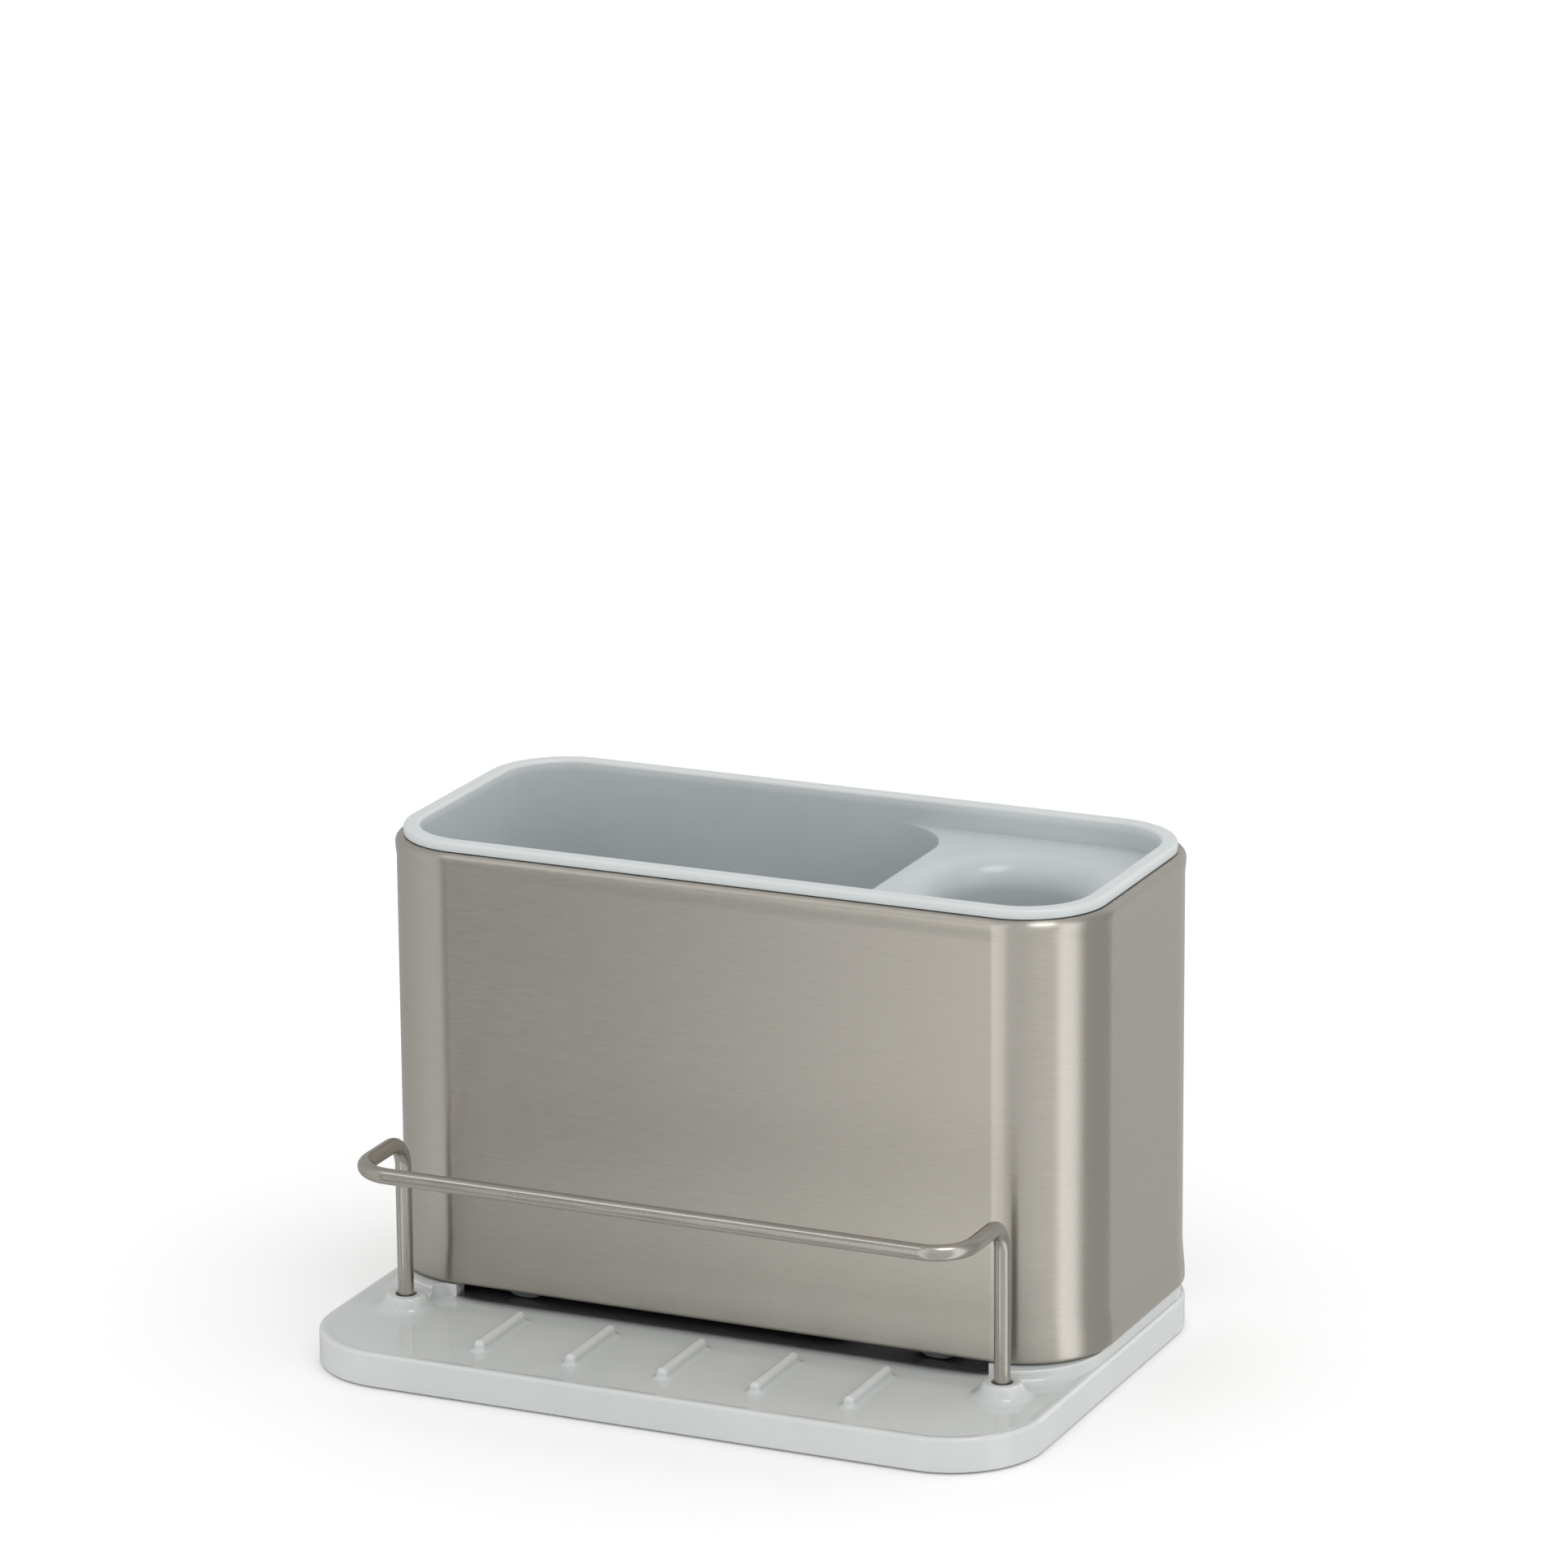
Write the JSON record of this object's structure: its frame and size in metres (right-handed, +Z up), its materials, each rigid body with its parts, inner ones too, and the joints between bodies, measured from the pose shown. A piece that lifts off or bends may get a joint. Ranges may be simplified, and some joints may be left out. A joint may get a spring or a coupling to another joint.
{
  "type": "sink organizer",
  "caption": "Free-standing sink organizer: ribbed drip tray, brushed steel sleeve, lift-out plastic caddy with bottle bay and brush well, and a front wire rail for sponges.",
  "frame": {"origin": "on the surface that the feet stand on, under the middle of the tray", "axes": "+X towards the brush well along the tray's long side, +Y towards the back, +Z up; the sponge rail is at the front, towards -Y"},
  "size_m": [0.19, 0.135, 0.1252],
  "materials": {
    "tray_plastic": "glossy, pale grey with a hint of green",
    "caddy_plastic": "satin, pale blue-grey",
    "brushed_steel": "stainless, brushed round the sleeve with fine level lines",
    "rail_steel": "stainless wire, satin",
    "foot_rubber": "matte, mid grey"
  },
  "bodies": {
    "base": {"base_tray": "tray_plastic", "foot_front_left": "foot_rubber", "foot_front_right": "foot_rubber", "foot_rear_left": "foot_rubber", "foot_rear_right": "foot_rubber"},
    "sleeve": {"steel_sleeve": "brushed_steel"},
    "caddy": {"inner_caddy": "caddy_plastic"},
    "rail": {"sponge_rail": "rail_steel"}
  },
  "joints": [
    {"name": "sleeve_lift", "type": "slide", "parent": "base", "child": "sleeve", "axis": [0, 0, 1], "range_m": [0, 0.02]},
    {"name": "caddy_lift", "type": "slide", "parent": "sleeve", "child": "caddy", "axis": [0, 0, 1], "range_m": [0, 0.12]},
    {"name": "rail_lift", "type": "slide", "parent": "base", "child": "rail", "axis": [0, 0, 1], "range_m": [0, 0.02]}
  ]
}
